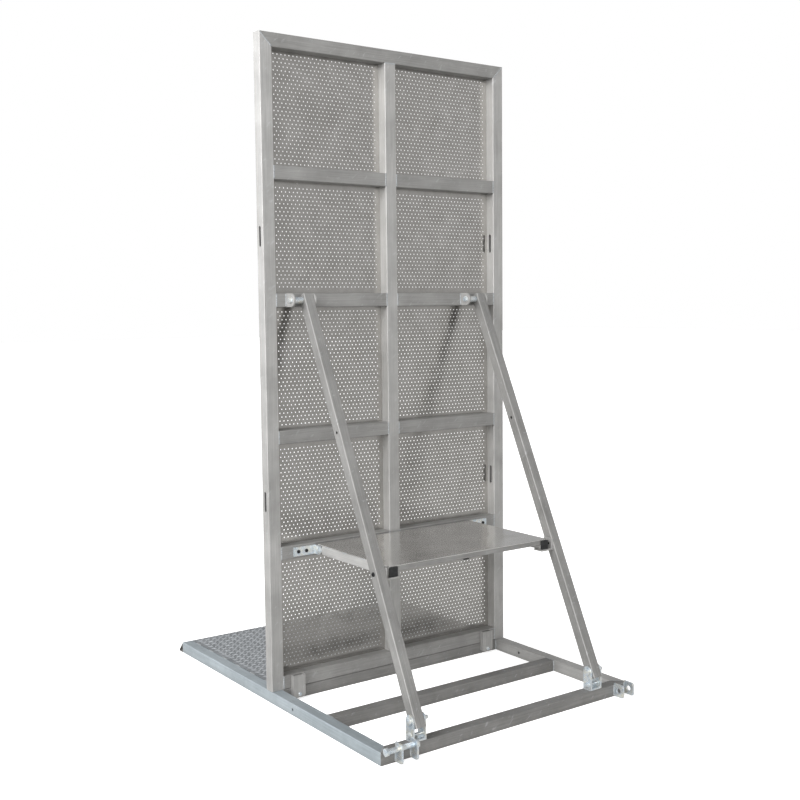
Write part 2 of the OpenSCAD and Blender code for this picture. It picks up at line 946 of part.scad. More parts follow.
// Strut tube in its own frame: the pivot is at its origin and the tube hangs down from it
module strut_tube() {
    difference() {
        translate([0, 0, -strut_len - strut_foot_end])
            box_tube(strut, strut, strut_wall, strut_len + strut_foot_end + strut_top_end);
        rod_x(-strut, strut, pivot_r + running);
        translate([0, 0, -strut_len])
            foot_notch();
        translate([0, 0, -lock_hole_drop])
            rod_x(-strut, strut, lock_hole_r);
        translate([0, 0, -ledge_bolt_drop])
            rod_x(-strut, strut, ledge_bolt_r + running);
    }
}

// Strut leaned back from its pivot to its foot pin
module leaned_strut(side) {
    translate([side * strut_x, pivot_y, pivot_z])
        rotate([-strut_lean, 0, 0])
            strut_tube();
}

module strut_left() {
    color(mill_aluminium)
        leaned_strut(-1);
}

module strut_right() {
    color(mill_aluminium)
        leaned_strut(1);
}

// Angle bracket on the right strut's inner face, which carries the end of the step's side tube
module ledge() {
    face = strut_x - strut_side;
    difference() {
        translate([face - ledge_t, ledge_rear, ledge_top - ledge_t])
            cube([ledge_t, ledge_d, step_hinge_z + ledge_rise - ledge_top + ledge_t]);
        translate([0, ledge_bolt_y, step_hinge_z])
            rod_x(face - ledge_t - cut, face + cut, ledge_bolt_r + running);
    }
    translate([face - ledge_reach, ledge_rear, ledge_top - ledge_t])
        cube([ledge_reach, ledge_d, ledge_t]);
}

module ledge_right() {
    color(mill_aluminium)
        ledge();
}

module ledge_left() {
    color(mill_aluminium)
        mirror([1, 0, 0])
            ledge();
}

// Bolt through the right strut into its ledge
module ledge_bolt() {
    outer = strut_x + strut_side;
    translate([0, ledge_bolt_y, step_hinge_z]) {
        rod_x(strut_x - strut_side - ledge_t, outer, ledge_bolt_r);
        rod_x(outer, outer + ledge_head_t, ledge_head_r);
    }
}

module ledge_bolt_right() {
    color(black_steel)
        ledge_bolt();
}

module ledge_bolt_left() {
    color(black_steel)
        mirror([1, 0, 0])
            ledge_bolt();
}

// Tube along the step's hinge line
module step_front_tube() {
    color(mill_aluminium)
        translate([-step_end, step_hinge_y, step_hinge_z])
            tube_along_x(step_tube, step_tube, step_wall, 2 * step_end);
}

// Flat tube under the plate's rear edge, between the side tubes
module step_rear_tube() {
    inner = step_end - step_tube;
    color(mill_aluminium)
        translate([-inner, step_tube_end + step_half, step_hinge_z + step_half - step_rear_h / 2])
            tube_along_x(step_tube, step_rear_h, step_wall, 2 * inner);
}

// Two side tubes to the step's rear end and a middle tube to the flat rear tube
module step_cross_tubes() {
    color(mill_aluminium) {
        for (x = [-step_side_x, step_side_x])
            translate([x, step_tube_end, step_hinge_z])
                tube_along_y(step_tube, step_tube, step_wall, step_front_face - step_tube_end);
        translate([0, step_tube_end + step_tube, step_hinge_z])
            tube_along_y(step_tube, step_tube, step_wall, step_front_face - step_tube_end - step_tube);
    }
}

// Plate on top of the step's tubes
module step_plate() {
    color(tread_aluminium)
        translate([-step_end, step_tube_end, step_hinge_z + step_half])
            cube([2 * step_end, step_hinge_y + step_half - step_tube_end, step_plate_t]);
}

// Bushes in the ends of the front tube, which turn on the pivot bolts
module step_hinge_bushes() {
    bore = step_tube - 2 * step_wall;
    color(black_plastic)
        for (turn = [0, 1])
            mirror([turn, 0, 0])
                translate([step_end - bush_len, step_hinge_y, step_hinge_z])
                    difference() {
                        translate([0, -bore / 2, -bore / 2])
                            cube([bush_len, bore, bore]);
                        rod_x(-cut, bush_len + cut, step_bolt_r + running);
                    }
}

// Plugs with a flange in the rear ends of the side tubes
module step_end_plugs() {
    bore = step_tube - 2 * step_wall;
    color(black_plastic)
        for (x = [-step_side_x, step_side_x])
            translate([x, step_tube_end, step_hinge_z]) {
                translate([-bore / 2, 0, -bore / 2])
                    cube([bore, bush_len, bore]);
                rotate([90, 0, 0])
                    linear_extrude(height = plug_flange)
                        rounded_rect(step_tube, step_tube, step_wall);
            }
}

// Headed pin through a clevis and the strut's foot, pulled out towards -X
module foot_pin(side) {
    translate([side * strut_x, foot_y, foot_z]) {
        rod_x(-ear_outer - seat_gap, ear_outer + pin_tail, pivot_r);
        rod_x(-ear_outer - seat_gap - pin_head_t, -ear_outer - seat_gap, pin_head_r);
    }
}

module foot_pin_left() {
    color(zinc_steel)
        foot_pin(-1);
}

module foot_pin_right() {
    color(zinc_steel)
        foot_pin(1);
}

base_side_rail_left();
base_side_rail_right();
base_rear_rail();
base_middle_rail();
base_hinge_rail();
base_front_nose();
tread_plate();
tread_joists();
panel_stop_left();
panel_stop_right();
stop_bolts();
clevis_left();
clevis_right();
clevis_tie_bolts();
coupling_lugs_left();
coupling_lugs_right();
coupling_bolt();
base_hinge_leaves();
hinge_pins();
stile_left();
stile_right();
top_rail();
bottom_rail();
mullion();
crossbar_upper();
crossbar_strut();
crossbar_lower();
crossbar_step();
infill_row_1();
infill_row_2();
infill_row_3();
infill_row_4();
infill_row_5();
panel_hinge_leaves();
strut_lugs_left();
strut_lugs_right();
strut_pivot_bolts();
step_hinge_brackets();
step_bracket_bolts();
step_pivot_bolts();
strut_left();
ledge_left();
ledge_bolt_left();
strut_right();
ledge_right();
ledge_bolt_right();
step_front_tube();
step_rear_tube();
step_cross_tubes();
step_plate();
step_hinge_bushes();
step_end_plugs();
foot_pin_left();
foot_pin_right();
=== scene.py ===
import json
import math

import bmesh
import bpy
from mathutils import Matrix, Vector


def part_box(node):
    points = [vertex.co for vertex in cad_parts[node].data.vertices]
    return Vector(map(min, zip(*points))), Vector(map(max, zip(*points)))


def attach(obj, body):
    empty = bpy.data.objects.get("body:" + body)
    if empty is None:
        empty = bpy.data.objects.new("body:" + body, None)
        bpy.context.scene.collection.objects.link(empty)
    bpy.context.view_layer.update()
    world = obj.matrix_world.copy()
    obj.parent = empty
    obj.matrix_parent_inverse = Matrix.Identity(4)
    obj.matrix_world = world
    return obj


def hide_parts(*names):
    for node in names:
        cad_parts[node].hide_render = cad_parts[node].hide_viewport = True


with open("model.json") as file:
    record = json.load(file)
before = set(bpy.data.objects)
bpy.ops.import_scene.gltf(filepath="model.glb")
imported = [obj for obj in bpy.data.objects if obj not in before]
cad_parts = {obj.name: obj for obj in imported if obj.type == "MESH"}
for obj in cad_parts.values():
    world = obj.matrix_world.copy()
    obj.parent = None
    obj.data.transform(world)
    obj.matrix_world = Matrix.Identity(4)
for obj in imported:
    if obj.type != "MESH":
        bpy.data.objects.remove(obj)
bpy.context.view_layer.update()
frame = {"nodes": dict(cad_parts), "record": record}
nodes = frame["nodes"]
record = frame["record"]
scene = bpy.context.scene
MM = 0.001
BODY_OF = {node: body for body, names in record["behaviour"]["bodies"].items() for node in names}

# Places on the barrier in millimetres, as in the part's source
HALF_WIDTH = 500
STRUT_X = 360
PIVOT_Y = -50
PIVOT_Z = 1320
FOOT_Y = -624
FOOT_Z = 100
STRUT_LEAN = math.atan2(PIVOT_Y - FOOT_Y, PIVOT_Z - FOOT_Z)
STRUT_SIDE = 17.5
EAR_INNER = 18.1
EAR_OUTER = 24.1
LEFT_LUG_INNER = 54.5
LEFT_LUG_OUTER = 60.5
RIGHT_COUPLING_XS = (442, 489)
LEFT_COUPLING_XS = (-447, -393)
COUPLING_SIDE = 3
COUPLING_BOLT_AT = (-420, -661, 45.88)
CLEVIS_BOLT_Z = 56
STOP_X = 406.5
STOP_REAR = -38
RAIL = 40
RAIL_INNER = 460
BASE_REAR = -644
MIDDLE_RAIL_REAR = -335
PANEL_REAR = -20
PANEL_FRONT = 20
STILE_INNER = 455
MULLION_SIDE = 22.5
BAR_HALF = 22.5
BAR_HEIGHTS = (1726, 1320, 876, 495)
PANEL_FOOT = 40.5
PANEL_TOP = 2160
FRAME_FACE = 45
STEP_END = 325
STEP_TUBE = 30
STEP_HINGE_Y = -46
STEP_HINGE_Z = 495
BRACKET_GAP = 0.6
BRACKET_T = 6
BRACKET_LENGTH = 86
BRACKET_SCREW_SHARES = (0.45, 0.8)
HINGE_Y = 28.4
HINGE_Z = 48.4
HINGE_XS = (-360, 0, 360)
HINGE_HALF = 40.6
HINGE_LEAF_Y = 42
HINGE_LEAF_REACH = 22


# Materials

def linear(hex_code):
    """Linear RGBA of an sRGB hex colour."""
    channels = [int(hex_code[i:i + 2], 16) / 255 for i in (1, 3, 5)]
    return [value / 12.92 if value <= 0.04045 else ((value + 0.055) / 1.055) ** 2.4
            for value in channels] + [1.0]


def add(tree, kind, inputs=None, stops=None, **settings):
    """Adds a node with its settings. An input takes a value or another node's socket, and stops fill a
    ramp."""
    made = tree.nodes.new(kind)
    for key, value in settings.items():
        setattr(made, key, value)
    for key, value in (inputs or {}).items():
        if isinstance(value, bpy.types.NodeSocket):
            tree.links.new(value, made.inputs[key])
        else:
            made.inputs[key].default_value = value
    if stops:
        ramp = made.color_ramp.elements
        ramp[0].position, ramp[0].color = stops[0]
        ramp[1].position, ramp[1].color = stops[-1]
        for place, colour in stops[1:-1]:
            ramp.new(place).color = colour
    return made


def new_material(name):
    """Material with its tree, its shader and the Object coordinates that its patterns read."""
    material = bpy.data.materials.new(name)
    material.use_nodes = True
    tree = material.node_tree
    shader = tree.nodes["Principled BSDF"]
    place = add(tree, "ShaderNodeTexCoord").outputs["Object"]
    return material, tree, shader, place


def noise(tree, place, size, detail, **more):
    """Cloudy pattern with features of a size in millimetres."""
    inputs = {"Vector": place, "Scale": 1 / (size * MM), "Detail": detail, **more}
    return add(tree, "ShaderNodeTexNoise", inputs).outputs["Fac"]


def stretched(tree, place, turn, scale):
    """Places turned and stretched, which draw a pattern out into lines."""
    inputs = {"Vector": place, "Rotation": turn, "Scale": scale}
    return add(tree, "ShaderNodeMapping", inputs, vector_type="TEXTURE").outputs["Vector"]


def tones(tree, value, *stops):
    """Colours that a pattern runs through, each given as a value and a hex colour."""
    colours = [(at, linear(hex_code)) for at, hex_code in stops]
    return add(tree, "ShaderNodeValToRGB", {"Fac": value}, colours).outputs["Color"]


def spread(tree, value, low, high, to_low, to_high):
    """Value carried over from one range to another, and held at its ends."""
    inputs = {"Value": value, "From Min": low, "From Max": high, "To Min": to_low, "To Max": to_high}
    return add(tree, "ShaderNodeMapRange", inputs).outputs["Result"]


def mixed(tree, share, under, over, blend="MIX"):
    """Colour with a share of another colour laid over it."""
    inputs = {0: share, 6: under, 7: over}
    return add(tree, "ShaderNodeMix", inputs, data_type="RGBA", blend_type=blend).outputs[2]


def maths(tree, operation, *values):
    """Result of a sum on values or sockets."""
    return add(tree, "ShaderNodeMath", dict(enumerate(values)), operation=operation).outputs["Value"]


def relief(tree, height, strength, depth, under=None):
    """Bumps of a depth in millimetres, laid over other bumps if there are any."""
    inputs = {"Height": height, "Strength": strength, "Distance": depth * MM}
    if under is not None:
        inputs["Normal"] = under
    return add(tree, "ShaderNodeBump", inputs).outputs["Normal"]


def height_of(tree, place):
    """Height above the floor."""
    return add(tree, "ShaderNodeSeparateXYZ", {"Vector": place}).outputs["Z"]


def link(tree, shader, patterns):
    """Joins patterns to the shader's sockets."""
    for socket, pattern in patterns.items():
        tree.links.new(pattern, shader.inputs[socket])


def extruded_aluminium(name, turn, dark, light):
    """Extruded 6000-series tube, mill finish under a thin white oxide: satin metal with die lines along
    its length, which turn lays along the tube, cloudy patches a hand wide, faint rubs from stacking, and
    darkening towards the floor."""
    material, tree, shader, place = new_material(name)
    # Die lines are about 0.2 mm apart, drawn at 2.5 mm so that they show
    lines = noise(tree, stretched(tree, place, turn, (1, 1, 60)), 2.5, 3.0)
    clouds = noise(tree, place, 110, 5.0, Roughness=0.6)
    tone = tones(tree, clouds, (0.3, dark), (0.7, light))
    streak = tones(tree, lines, (0.35, "#dadada"), (0.65, "#ffffff"))
    body = mixed(tree, 0.7, tone, streak, "MULTIPLY")
    # Rub marks are about 9 mm wide and nine times as long, slanted across the tubes
    rubs = noise(tree, stretched(tree, place, (0.5, 0.7, 0.3), (1, 1, 9)), 9, 3.0)
    marks = spread(tree, rubs, 0.62, 0.8, 0.0, 0.35)
    rubbed = mixed(tree, marks, body, linear("#d3d6d8"))
    # Darker towards the floor, fading out over the lowest 16 mm
    low = spread(tree, height_of(tree, place), 16 * MM, 0.0, 0.0, 0.5)
    floor_darkening = maths(tree, "MULTIPLY", low, clouds)
    link(tree, shader, {"Base Color": mixed(tree, floor_darkening, rubbed, linear("#5d5a55")),
                        "Roughness": spread(tree, lines, 0.3, 0.7, 0.4, 0.54),
                        "Normal": relief(tree, lines, 0.12, 0.4)})
    shader.inputs["Metallic"].default_value = 0.55
    return material


def rolled_sheet(name):
    """Bright cold-rolled aluminium sheet, punched: a soft mirror that shows the tubes beside it and the
    struts, drawn slightly out of flat between its welds, with faint roll lines and wiped smears."""
    material, tree, shader, place = new_material(name)
    # Buckles between welds are about 170 mm across
    buckles = noise(tree, place, 170, 2.0)
    # Roll lines are about 0.1 mm apart, drawn at 2 mm so that they show
    lines = noise(tree, stretched(tree, place, (0, 0, 0), (1, 1, 40)), 2, 3.0)
    # Wiped smears are 70 mm across
    smears = noise(tree, place, 70, 6.0, Roughness=0.7, Distortion=0.8)
    waves = relief(tree, buckles, 1.0, 2)
    link(tree, shader, {"Base Color": tones(tree, smears, (0.3, "#a5a39f"), (0.7, "#b9b7b4")),
                        "Roughness": spread(tree, smears, 0.3, 0.7, 0.16, 0.28),
                        "Normal": relief(tree, lines, 0.08, 0.3, waves)})
    shader.inputs["Metallic"].default_value = 0.95
    return material


def tread_sheet(name, plate_top):
    """Rolled tread plate: aluminium whose raised lenses are polished on top by shoes, with grey dirt
    between them."""
    material, tree, shader, place = new_material(name)
    worn = spread(tree, height_of(tree, place), plate_top + 0.2 * MM, plate_top + 1.1 * MM, 0.0, 1.0)
    # Scuffs from shoes are 25 mm across
    scuffs = noise(tree, place, 25, 6.0, Roughness=0.65)
    dirt = tones(tree, scuffs, (0.35, "#969a9e"), (0.65, "#b9bdc1"))
    # Grain of the rolled face is about 0.1 mm, drawn at 1.5 mm so that it shows
    grain = noise(tree, place, 1.5, 2.0)
    link(tree, shader, {"Base Color": mixed(tree, worn, dirt, linear("#dde1e5")),
                        "Roughness": spread(tree, worn, 0.0, 1.0, 0.45, 0.28),
                        "Normal": relief(tree, grain, 0.1, 0.3)})
    shader.inputs["Metallic"].default_value = 0.9
    return material


def polished_plate(name):
    """Plain aluminium plate rubbed bright by shoes: a wavy soft mirror with dents a hand wide and long
    scratches."""
    material, tree, shader, place = new_material(name)
    # Dents from feet are about 130 mm across
    dents = noise(tree, place, 130, 1.5)
    # Scratches are 40 mm long, drawn 3 mm wide so that they show
    scratches = noise(tree, stretched(tree, place, (0, 0, 0.5), (14, 1, 1)), 3, 1.0)
    # Wiped smears are 90 mm across
    smears = noise(tree, place, 90, 3.0)
    waves = relief(tree, dents, 1.0, 4)
    link(tree, shader, {"Base Color": tones(tree, smears, (0.3, "#d6d5d3"), (0.7, "#e6e5e3")),
                        "Roughness": spread(tree, smears, 0.3, 0.7, 0.15, 0.22),
                        "Normal": relief(tree, scratches, 0.015, 0.3, waves)})
    shader.inputs["Metallic"].default_value = 0.95
    return material


def zinc_plate(name):
    """Bright zinc-plated steel: a cold silver with faint blue and straw tints and small handling
    scratches."""
    material, tree, shader, place = new_material(name)
    # Passivation tints drift over 15 mm
    drift = noise(tree, place, 15, 3.0)
    # Scratches are 8 mm long and 0.7 mm wide
    scratches = noise(tree, stretched(tree, place, (0.4, 0.9, 0.2), (1, 1, 12)), 0.7, 2.0)
    tints = tones(tree, drift, (0.3, "#bccad5"), (0.5, "#d9dee1"), (0.7, "#dcdacf"))
    link(tree, shader, {"Base Color": tints,
                        "Roughness": spread(tree, scratches, 0.35, 0.7, 0.22, 0.42),
                        "Normal": relief(tree, scratches, 0.12, 0.2)})
    shader.inputs["Metallic"].default_value = 0.8
    return material


def black_oxide(name):
    """Black-oxide steel: an oily blue-black satin, worn to grey in small patches."""
    material, tree, shader, place = new_material(name)
    # Worn patches are 3 mm across
    wear = noise(tree, place, 3, 4.0)
    link(tree, shader, {"Base Color": tones(tree, wear, (0.5, "#1d1e20"), (0.75, "#4a4b4c"))})
    shader.inputs["Metallic"].default_value = 0.6
    shader.inputs["Roughness"].default_value = 0.4
    return material


def moulded_polyethylene(name):
    """Black injection-moulded polyethylene: a waxy dark grey with a fine spark-eroded grain and chalky
    rubs."""
    material, tree, shader, place = new_material(name)
    # Mould grain is about 0.15 mm, drawn at 0.8 mm so that it shows
    grain = noise(tree, place, 0.8, 2.0)
    # Rubs are 9 mm across
    rubs = noise(tree, place, 9, 5.0)
    link(tree, shader, {"Base Color": tones(tree, rubs, (0.45, "#111213"), (0.75, "#2c2d2e")),
                        "Roughness": spread(tree, rubs, 0.0, 1.0, 0.4, 0.6),
                        "Normal": relief(tree, grain, 0.25, 0.1)})
    shader.inputs["IOR"].default_value = 1.51
    return material


def weld_metal(name):
    """TIG weld bead in aluminium: frosted pale metal with sooty edges."""
    material, tree, shader, place = new_material(name)
    # Soot and clean metal change over 5 mm
    soot = noise(tree, place, 5, 4.0)
    link(tree, shader, {"Base Color": tones(tree, soot, (0.3, "#939698"), (0.65, "#bfc2c4"))})
    shader.inputs["Metallic"].default_value = 0.7
    shader.inputs["Roughness"].default_value = 0.42
    return material


QUARTER = math.pi / 2
# The tubes are copies of one extruded metal whose tones differ per group as painted light and shade: the
# across, base rail and strut copies are darker as painted shade, the endways copy is lighter as painted
# light, and the left side rail's copy is bluish as painted blue light from the left.
upright_tube = extruded_aluminium("mill_aluminium_upright", (0, 0, 0), "#a5a4a2", "#bbbab8")
shaded_across_tube = extruded_aluminium("mill_aluminium_across_painted_shade", (0, QUARTER, 0), "#8d8c8a", "#a3a2a0")
shaded_base_rail_tube = extruded_aluminium("mill_aluminium_base_painted_shade", (0, QUARTER, 0), "#7f7e7c", "#949391")
lit_endways_tube = extruded_aluminium("mill_aluminium_endways_painted_light", (-QUARTER, 0, 0), "#b2b1af", "#c9c8c6")
bluish_lit_tube = extruded_aluminium("mill_aluminium_painted_blue_light", (-QUARTER, 0, 0), "#9ca5aa", "#b4bdc2")
shaded_strut_tube = extruded_aluminium("mill_aluminium_strut_painted_shade", (-STRUT_LEAN, 0, 0), "#8c8b89", "#a2a19f")
punched_sheet = rolled_sheet("rolled_aluminium_sheet")
tread_metal = tread_sheet("tread_plate_aluminium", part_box("tread_plate")[1].z)
step_metal = polished_plate("polished_aluminium_plate")
zinc = zinc_plate("zinc_plated_steel")
black_screw = black_oxide("black_oxide_steel")
black_plug = moulded_polyethylene("black_polyethylene")
weld = weld_metal("aluminium_weld")

FINISHES = {
    upright_tube: ("stile_left", "stile_right", "mullion", "panel_stop_left", "panel_stop_right",
                   "strut_lugs_left", "strut_lugs_right", "panel_hinge_leaves", "base_hinge_leaves",
                   "ledge_left", "ledge_right"),
    shaded_across_tube: ("top_rail", "bottom_rail", "crossbar_upper", "crossbar_strut", "crossbar_lower",
                  "crossbar_step", "base_front_nose", "step_front_tube", "step_rear_tube"),
    shaded_base_rail_tube: ("base_rear_rail", "base_middle_rail", "base_hinge_rail"),
    lit_endways_tube: ("base_side_rail_right", "tread_joists", "step_cross_tubes"),
    bluish_lit_tube: ("base_side_rail_left",),
    shaded_strut_tube: ("strut_left", "strut_right"),
    punched_sheet: ("infill_row_1", "infill_row_2", "infill_row_3", "infill_row_4", "infill_row_5"),
    tread_metal: ("tread_plate",),
    step_metal: ("step_plate",),
    zinc: ("stop_bolts", "clevis_left", "clevis_right", "clevis_tie_bolts", "coupling_lugs_left",
           "coupling_lugs_right", "coupling_bolt", "hinge_pins", "strut_pivot_bolts",
           "step_hinge_brackets", "step_pivot_bolts", "foot_pin_left", "foot_pin_right"),
    black_screw: ("step_bracket_bolts", "ledge_bolt_left", "ledge_bolt_right"),
    black_plug: ("step_hinge_bushes", "step_end_plugs"),
}
FINISH_OF = {}
for material, names in FINISHES.items():
    for name in names:
        FINISH_OF[name] = material
        for finish_slot in nodes[name].material_slots:
            finish_slot.material = material


# Making a piece

def finish_piece(bm, name, material, carrier, stands_in=False, smooth=None):
    """Makes an object of a mesh drawn in millimetres. It rides as the carrier node does, wears the given
    material, and may stand in for that node. Edges under the smooth angle, in degrees, are shaded round."""
    bmesh.ops.scale(bm, vec=(MM, MM, MM), verts=bm.verts)
    bmesh.ops.recalc_face_normals(bm, faces=bm.faces)
    mesh = bpy.data.meshes.new(name)
    bm.to_mesh(mesh)
    bm.free()
    if smooth:
        mesh.shade_smooth()
        mesh.set_sharp_from_angle(angle=math.radians(smooth))
    piece = bpy.data.objects.new(name, mesh)
    scene.collection.objects.link(piece)
    mesh.materials.append(material)
    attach(piece, BODY_OF[carrier])
    if stands_in:
        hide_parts(carrier)
    return piece


def edges_of(verts):
    """Edges at some vertices, each once and always in the same order."""
    return list(dict.fromkeys(edge for vert in verts for edge in vert.link_edges))


def faces_of(verts):
    """Faces at some vertices, each once and always in the same order."""
    return list(dict.fromkeys(face for vert in verts for face in vert.link_faces))


def all_of(verts):
    """Vertices with their edges and faces, as a list for an operator."""
    return list(verts) + edges_of(verts) + faces_of(verts)


def repeat(bm, geom, step, times):
    """Copies of a shape, each one step further on."""
    if times > 0:
        bmesh.ops.spin(bm, geom=geom, cent=(0, 0, 0), axis=(0, 0, 1), dvec=step, angle=0,
                       steps=times, use_duplicate=True)


def template(bm, name):
    """Turns a shape that will be stamped many times into a mesh."""
    mesh = bpy.data.meshes.new(name)
    bm.to_mesh(mesh)
    bm.free()
    return mesh


def stamp(bm, mesh, place):
    """Adds a copy of a template at a place."""
    copy = mesh.copy()
    copy.transform(place)
    bm.from_mesh(copy)
    bpy.data.meshes.remove(copy)


def break_edges(bm, edges, width):
    """Rounds edges off over a width."""
    bmesh.ops.bevel(bm, geom=edges, offset=width, offset_type="OFFSET", segments=2, profile=0.5,
                    affect="EDGES", clamp_overlap=True, material=-1)


def stood(point, axis):
    """Place whose Z axis lies along a direction at a point."""
    return Matrix.Translation(point) @ Vector(axis).to_track_quat("Z", "Y").to_matrix().to_4x4()


# Perforation of the infill: round holes in staggered rows at 60 degrees
HOLE_PITCH = 14.7
HOLE_R = 2.4
HOLE_SIDES = 8
ROW_PITCH = HOLE_PITCH * math.sin(math.radians(60))
PLAIN_EDGE = 5


def punched_brick(bm, x, z):
    """One hole of the perforation with the metal round it, as a brick in a bond."""
    half_w = HOLE_PITCH / 2
    half_h = ROW_PITCH / 2
    rim = [bm.verts.new((x + sx * half_w, 0, z + sz * half_h))
           for sx, sz in ((-1, -1), (0, -1), (1, -1), (1, 1), (0, 1), (-1, 1))]
    rim_edges = [bm.edges.new((rim[i - 1], rim[i])) for i in range(len(rim))]
    place = Matrix.Translation((x, 0, z)) @ Matrix.Rotation(QUARTER, 4, "X")
    hole = bmesh.ops.create_circle(bm, segments=HOLE_SIDES, radius=HOLE_R, matrix=place)["verts"]
    hole_edges = edges_of(hole)
    metal = bmesh.ops.bridge_loops(bm, edges=rim_edges + hole_edges)["faces"]
    return metal + rim + hole + rim_edges + hole_edges


def plain_brick(bm, x, z):
    """Half brick without a hole, which squares off a staggered row."""
    place = Matrix.Translation((x, 0, z)) @ Matrix.Rotation(QUARTER, 4, "X")
    size = Matrix.Diagonal((HOLE_PITCH / 4, ROW_PITCH / 2, 1, 1))
    bmesh.ops.create_grid(bm, x_segments=1, y_segments=1, size=1, matrix=place @ size)


def widen_edge(bm, axis, at, to):
    """Draws the open border that lies at one place along an axis out to another place."""
    border = [edge for edge in bm.edges
              if edge.is_boundary and all(abs(vert.co[axis] - at) < 0.01 for vert in edge.verts)]
    grown = bmesh.ops.extrude_edge_only(bm, edges=border)["geom"]
    for vert in grown:
        if isinstance(vert, bmesh.types.BMVert):
            vert.co[axis] = to


def punched_field(bm, left, right, bottom, top):
    """Flat perforated sheet between four edges, with a plain border."""
    columns = int((right - left - 2 * PLAIN_EDGE) / HOLE_PITCH)
    pairs = int((top - bottom - 2 * PLAIN_EDGE) / (2 * ROW_PITCH))
    start_x = (left + right - columns * HOLE_PITCH) / 2
    start_z = (bottom + top - pairs * 2 * ROW_PITCH) / 2
    low_z = start_z + ROW_PITCH / 2
    high_z = low_z + ROW_PITCH
    step = (HOLE_PITCH, 0, 0)
    repeat(bm, punched_brick(bm, start_x + HOLE_PITCH / 2, low_z), step, columns - 1)
    repeat(bm, punched_brick(bm, start_x + HOLE_PITCH, high_z), step, columns - 2)
    plain_brick(bm, start_x + HOLE_PITCH / 4, high_z)
    plain_brick(bm, start_x + (columns - 0.25) * HOLE_PITCH, high_z)
    repeat(bm, all_of(bm.verts), (0, 0, 2 * ROW_PITCH), pairs - 1)
    bmesh.ops.remove_doubles(bm, verts=bm.verts, dist=0.01)
    widen_edge(bm, 0, start_x, left)
    widen_edge(bm, 0, start_x + columns * HOLE_PITCH, right)
    widen_edge(bm, 2, start_z, bottom)
    widen_edge(bm, 2, start_z + pairs * 2 * ROW_PITCH, top)


def perforated_row(number):
    """Both sheets of one row of the infill."""
    node = f"infill_row_{number}"
    low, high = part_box(node)
    bm = bmesh.new()
    punched_field(bm, -STILE_INNER, -MULLION_SIDE, low.z / MM, high.z / MM)
    bmesh.ops.translate(bm, verts=bm.verts, vec=(0, high.y / MM, 0))
    copy = bmesh.ops.duplicate(bm, geom=all_of(bm.verts))["geom"]
    bmesh.ops.translate(bm, verts=[v for v in copy if isinstance(v, bmesh.types.BMVert)],
                        vec=(STILE_INNER + MULLION_SIDE, 0, 0))
    bmesh.ops.recalc_face_normals(bm, faces=bm.faces)
    if bm.faces[0].normal.y < 0:
        bmesh.ops.reverse_faces(bm, faces=bm.faces)
    piece = finish_piece(bm, f"perforated_row_{number}", punched_sheet, node, stands_in=True)
    wall = piece.modifiers.new("sheet thickness", "SOLIDIFY")
    wall.thickness = high.y - low.y
    wall.offset = -1


for row in range(1, 6):
    perforated_row(row)


# Raised pattern of the tread plate: lenses in a chequer, each square to its neighbours
LENS_LENGTH = 27
LENS_WIDTH = 7.5
LENS_RISE = 1.5
LENS_PITCH = 20


def tread_lens():
    """Template of one raised lens with its middle at the origin, cut off a little below the plate."""
    bm = bmesh.new()
    size = Matrix.Diagonal((LENS_LENGTH / 2, LENS_WIDTH / 2, LENS_RISE, 1))
    bmesh.ops.create_uvsphere(bm, u_segments=12, v_segments=8, radius=1, matrix=size)
    bmesh.ops.bisect_plane(bm, geom=all_of(bm.verts), plane_co=(0, 0, -0.1 * LENS_RISE),
                           plane_no=(0, 0, -1), clear_outer=True)
    return template(bm, "tread_lens")


def tread_pattern(keep_out):
    """Lenses all over the tread plate, laid slantwise, but not where another piece lies on the plate."""
    low, high = [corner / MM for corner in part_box("tread_plate")]
    middle = (low + high) / 2
    reach = LENS_LENGTH / 2
    count = int((high - low).length / LENS_PITCH) // 2 + 1
    diagonal = LENS_PITCH / math.sqrt(2)
    lens = tread_lens()
    bm = bmesh.new()
    for i in range(-count, count + 1):
        for j in range(-count, count + 1):
            x = middle.x + (i - j) * diagonal
            y = middle.y + (i + j) * diagonal
            inside = low.x + reach < x < high.x - reach and low.y + reach < y < high.y - reach
            clear = all(abs(x - other_x) > wide + reach or abs(y - other_y) > deep + reach
                        for other_x, other_y, wide, deep in keep_out)
            if inside and clear:
                turn = Matrix.Rotation(math.pi / 4 + (i + j) % 2 * QUARTER, 4, "Z")
                stamp(bm, lens, Matrix.Translation((x, y, high.z)) @ turn)
    finish_piece(bm, "tread_lenses", tread_metal, "tread_plate", smooth=60)


tread_pattern([(x, HINGE_LEAF_Y, HINGE_HALF, HINGE_LEAF_REACH) for x in HINGE_XS])


# Cut plates and blocks with their sharp edges broken
BROKEN_EDGE = 0.8
SHARP_FROM = math.radians(40)
FLAT_BELOW = math.radians(0.5)


def softened(node):
    """Copy of a node's solid with its sharp edges rounded, in its place."""
    bm = bmesh.new()
    bm.from_mesh(nodes[node].data)
    bmesh.ops.scale(bm, vec=(1 / MM, 1 / MM, 1 / MM), verts=bm.verts)
    bmesh.ops.remove_doubles(bm, verts=bm.verts, dist=0.005)
    bmesh.ops.dissolve_limit(bm, angle_limit=FLAT_BELOW, verts=bm.verts, edges=bm.edges)
    sharp = [edge for edge in bm.edges if edge.is_manifold and edge.calc_face_angle() > SHARP_FROM]
    break_edges(bm, sharp, BROKEN_EDGE)
    piece = finish_piece(bm, f"{node}_edged", FINISH_OF[node], node, stands_in=True, smooth=35)
    flat = piece.modifiers.new("flat faces stay flat", "WEIGHTED_NORMAL")
    flat.keep_sharp = True


